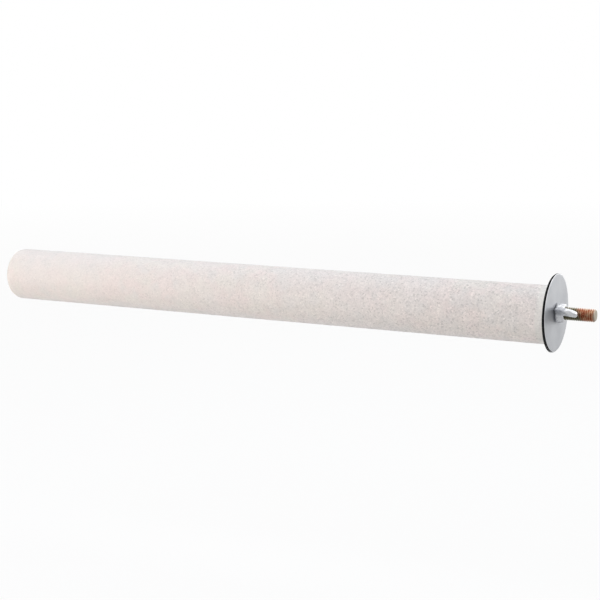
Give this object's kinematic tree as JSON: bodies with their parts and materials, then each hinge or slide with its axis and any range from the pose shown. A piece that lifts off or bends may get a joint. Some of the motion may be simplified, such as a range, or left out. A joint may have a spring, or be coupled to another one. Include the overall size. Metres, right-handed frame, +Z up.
{
  "type": "bird perch",
  "caption": "Straight round perch with a gritty mineral coat, clamped to a cage wall by a stud, two wide washers and a wing nut.",
  "frame": {"origin": "on the stud's axis, at the face of the inner washer that meets the cage wall", "axes": "+X along the stud, pointing out of the cage; +Z up with the perch level; the perch runs to -X"},
  "size_m": [0.3247, 0.036, 0.0364],
  "materials": {
    "core_wood": "bare turned hardwood",
    "grit": "matte bonded fine mineral grit, off-white with pinkish specks",
    "yellow_zinc": "yellow passivated zinc on steel, iridescent brown",
    "washer_zinc": "bright zinc on pressed steel",
    "nut_zinc": "bright plated forging"
  },
  "bodies": {
    "perch": {"perch_core": "core_wood", "grit_coat": "grit", "hanger_bolt": "yellow_zinc", "inner_washer": "washer_zinc"},
    "outer_washer": {"outer_washer": "washer_zinc"},
    "wing_nut": {"wing_nut": "nut_zinc"}
  },
  "joints": [
    {"name": "clamp_travel", "type": "slide", "parent": "perch", "child": "outer_washer", "axis": [1, 0, 0], "range_m": [0, 0.0131]},
    {"name": "nut_spin", "type": "hinge", "parent": "outer_washer", "child": "wing_nut", "pos_m": [0.0007, 0, 0], "axis": [1, 0, 0], "range_deg": [0, 4680]}
  ],
  "couplings": [
    {"joint": "clamp_travel", "follows": "nut_spin", "m_per_rad": 0.00015915}
  ]
}
